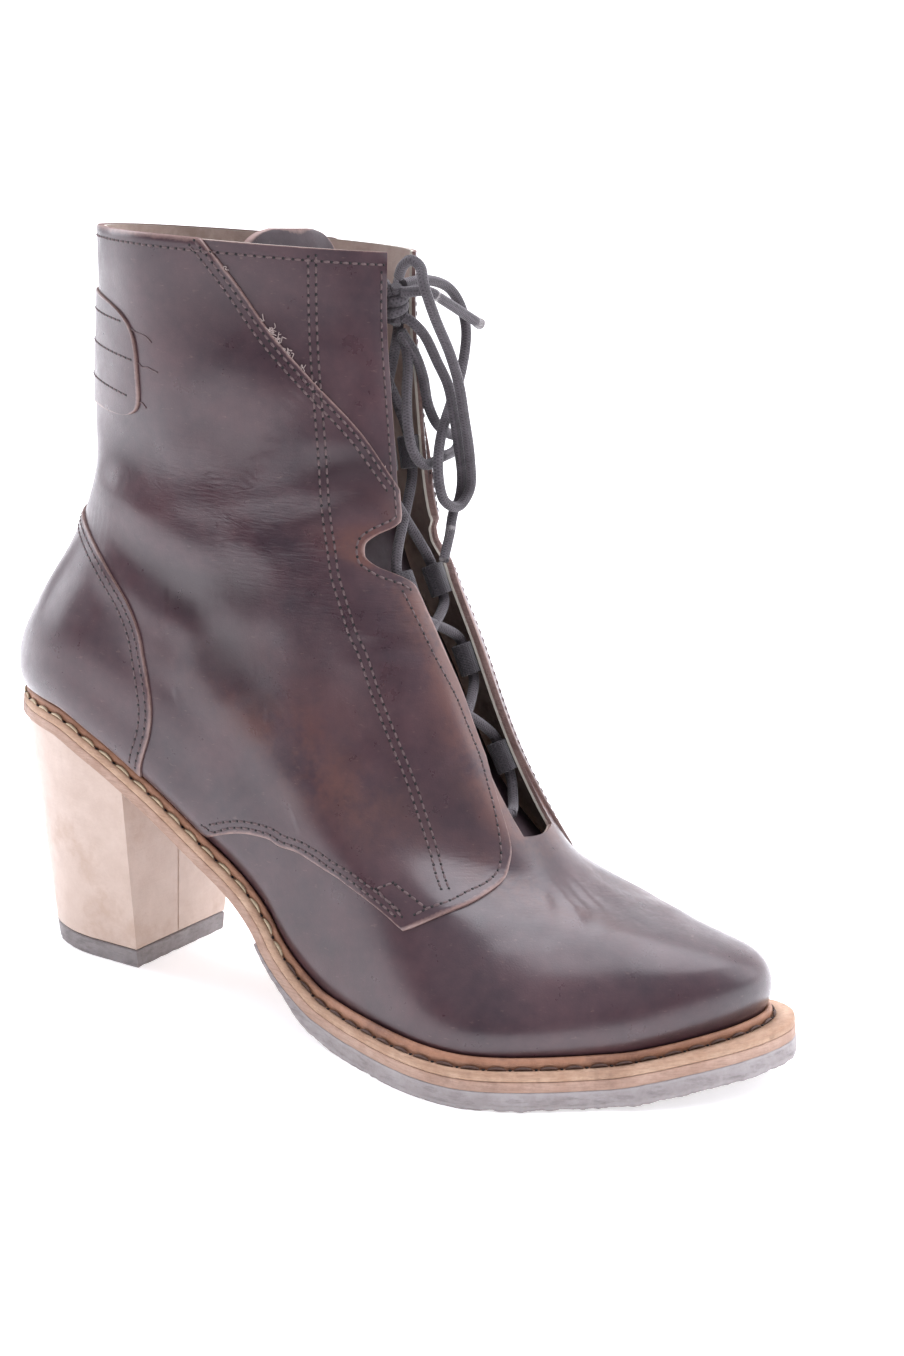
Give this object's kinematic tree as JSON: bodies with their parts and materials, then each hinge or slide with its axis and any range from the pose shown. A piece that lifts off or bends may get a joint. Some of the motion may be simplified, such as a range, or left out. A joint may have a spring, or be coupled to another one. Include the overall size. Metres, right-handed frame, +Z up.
{
  "type": "ankle boot",
  "caption": "Right ankle boot in glossy dark brown leather, laced through webbing loops, on a stitched tan welt, grey rubber forefoot sole and stacked block heel.",
  "frame": {"origin": "middle of the heel's tread, on the floor that the boot stands on", "axes": "+X to the toe, +Y to the inner side of the foot, +Z up"},
  "size_m": [0.2509, 0.0997, 0.2206],
  "materials": {
    "upper_leather": "glossy, creased, slightly worn",
    "tongue_leather": "satin",
    "insole_leather": "matt",
    "welt_leather": "satin, stitched",
    "outsole_leather": "satin edge",
    "sole_rubber": "matt, scuffed",
    "heel_leather": "satin, natural",
    "webbing": "matt woven",
    "lace_cord": "matt round cord",
    "aglet_plastic": "glossy, slightly clear"
  },
  "bodies": {
    "root": {"upper": "upper_leather", "tongue": "tongue_leather", "insole": "insole_leather", "welt": "welt_leather", "outsole": "outsole_leather", "forefoot_sole": "sole_rubber", "heel_block": "heel_leather", "heel_lift": "sole_rubber", "lacing": "lace_cord", "webbing_loop_outer_first": "webbing", "webbing_loop_inner_first": "webbing", "webbing_loop_outer_second": "webbing", "webbing_loop_inner_second": "webbing", "webbing_loop_outer_third": "webbing", "webbing_loop_inner_third": "webbing", "webbing_loop_outer_fourth": "webbing", "webbing_loop_inner_fourth": "webbing", "webbing_loop_outer_fifth": "webbing", "webbing_loop_inner_fifth": "webbing", "lace_knot": "lace_cord", "lace_loop_large": "lace_cord", "lace_loop_small": "lace_cord", "lace_end_long": "lace_cord", "lace_end_short": "lace_cord", "aglet_long": "aglet_plastic", "aglet_short": "aglet_plastic"}
  },
  "joints": []
}
